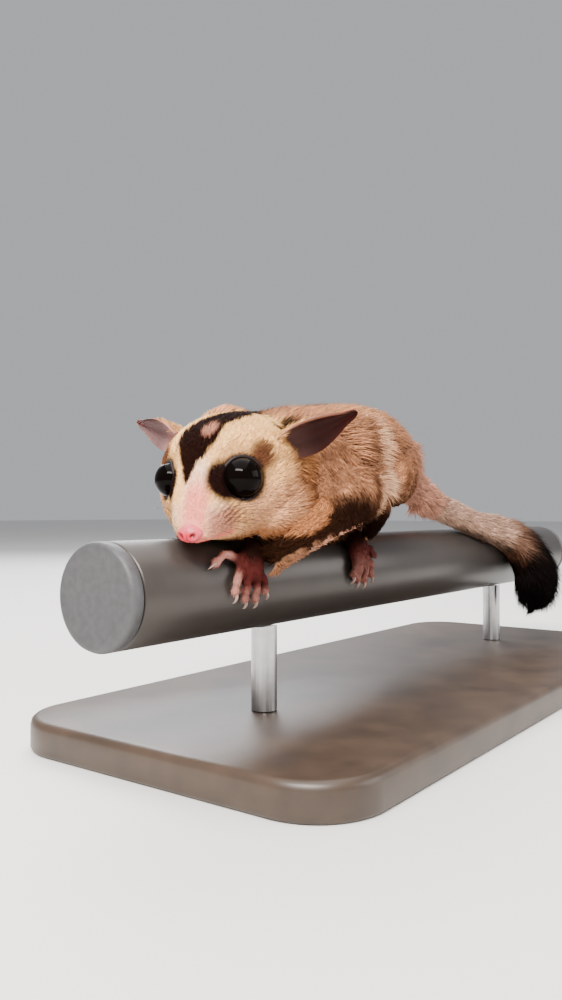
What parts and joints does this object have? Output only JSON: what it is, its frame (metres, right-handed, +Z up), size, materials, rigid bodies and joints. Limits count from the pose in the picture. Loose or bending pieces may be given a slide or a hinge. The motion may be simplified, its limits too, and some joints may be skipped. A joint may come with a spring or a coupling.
{
  "type": "sugar glider",
  "caption": "Life-size sugar glider crouched along a short metal rail with its bushy tail hanging over the side, on a plain display stand",
  "frame": {"origin": "The middle of the stand's underside, at the surface it stands on", "axes": "X along the rail, with the animal facing -X. +Y towards the animal's right side, with the tail hanging on the -Y side. +Z up"},
  "size_m": [0.2526, 0.096, 0.0877],
  "materials": {
    "face": "short soft fur",
    "coat": "soft mottled fur",
    "membrane": "short dark fur with a pale fringe",
    "brush": "long bushy fur",
    "skin": "bare soft skin",
    "nose": "damp bare skin",
    "ear": "thin bare skin",
    "eye": "wet gloss",
    "rail": "satin",
    "cap": "matte",
    "stand": "dark satin",
    "rod": "brushed"
  },
  "bodies": {
    "root": {"head": "face", "nose": "nose", "eye_left": "eye", "eye_right": "eye", "ear_left": "ear", "ear_right": "ear", "neck": "coat", "chest": "coat", "rump": "coat", "upper_arm_left": "coat", "upper_arm_right": "coat", "forearm_left": "membrane", "forearm_right": "membrane", "hand_left": "skin", "hand_right": "skin", "thigh_left": "coat", "thigh_right": "coat", "shank_left": "membrane", "shank_right": "membrane", "foot_left": "skin", "foot_right": "skin", "membrane_left": "membrane", "membrane_right": "membrane", "tail_root": "coat", "tail_middle": "coat", "tail_brush": "brush", "perch_rail": "rail", "perch_cap_front": "cap", "perch_cap_back": "cap", "stand_base": "stand", "stand_rod_front": "rod", "stand_rod_back": "rod"}
  },
  "joints": []
}
